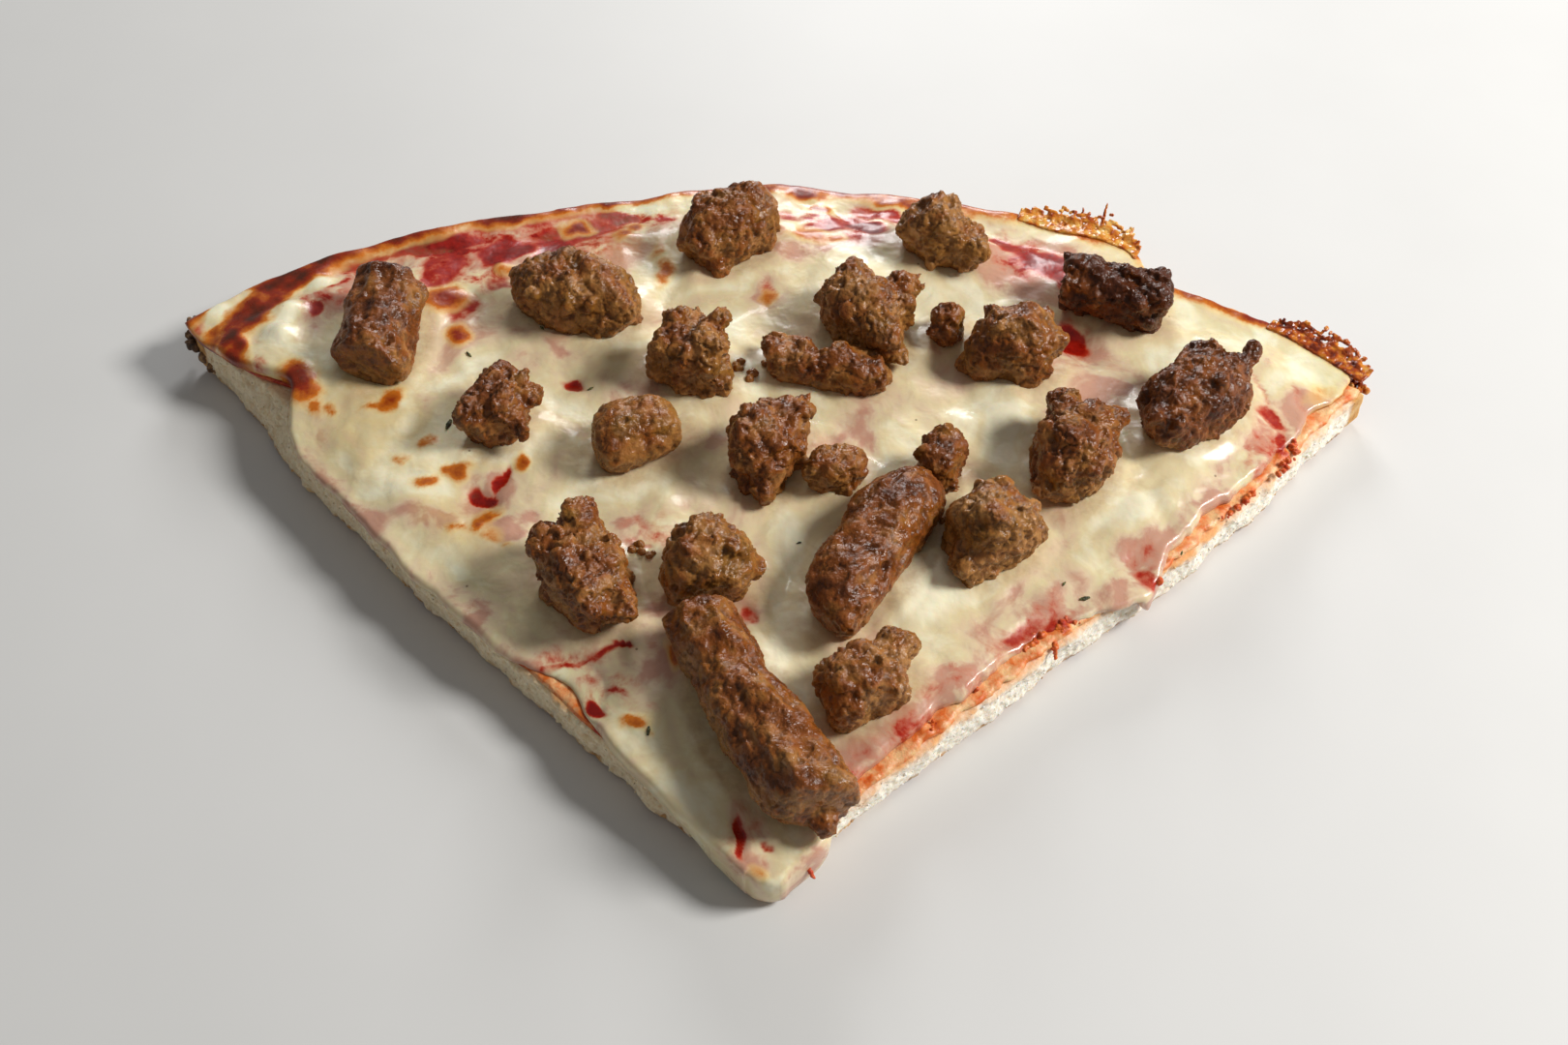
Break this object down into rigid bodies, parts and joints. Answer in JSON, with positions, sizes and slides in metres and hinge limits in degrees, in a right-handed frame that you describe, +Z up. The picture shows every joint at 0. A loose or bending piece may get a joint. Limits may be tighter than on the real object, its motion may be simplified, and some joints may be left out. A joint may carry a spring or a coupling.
{
  "type": "sausage pizza slice",
  "caption": "Quarter of a large pan pizza lying flat: thin bread base, tomato sauce, melted cheese that drapes over its edges and tip, and browned sausage chunks.",
  "frame": {"origin": "centre of the bounding box's bottom, on the surface that the slice lies on", "axes": "+Z up, +Y from the pointed tip towards the baked rim, +X to the right across the slice"},
  "size_m": [0.2701, 0.19, 0.0308],
  "materials": {
    "baked_dough": "matt open bread crumb, golden brown underneath",
    "tomato_sauce": "wet",
    "melted_cheese": "soft greasy sheen, browned spots",
    "browned_sausage": "coarse, browned and greasy"
  },
  "bodies": {
    "root": {"dough_base": "baked_dough", "tomato_sauce": "tomato_sauce", "melted_cheese": "melted_cheese", "sausage_link_slice_left": "browned_sausage", "sausage_back_left": "browned_sausage", "sausage_back_middle": "browned_sausage", "sausage_back_pale": "browned_sausage", "sausage_seared_link": "browned_sausage", "sausage_seared_spiked": "browned_sausage", "sausage_dark_edged": "browned_sausage", "sausage_back_right": "browned_sausage", "sausage_bridge_bit": "browned_sausage", "sausage_curled_top": "browned_sausage", "sausage_flat_crumble": "browned_sausage", "sausage_curled_end": "browned_sausage", "sausage_round_left": "browned_sausage", "sausage_centre_drop": "browned_sausage", "sausage_centre_ball": "browned_sausage", "sausage_two_peaked": "browned_sausage", "sausage_long_chunk": "browned_sausage", "sausage_chunk_head": "browned_sausage", "sausage_right_round": "browned_sausage", "sausage_jagged": "browned_sausage", "sausage_left_round": "browned_sausage", "sausage_long_link": "browned_sausage", "sausage_tucked_wedge": "browned_sausage"}
  },
  "joints": []
}
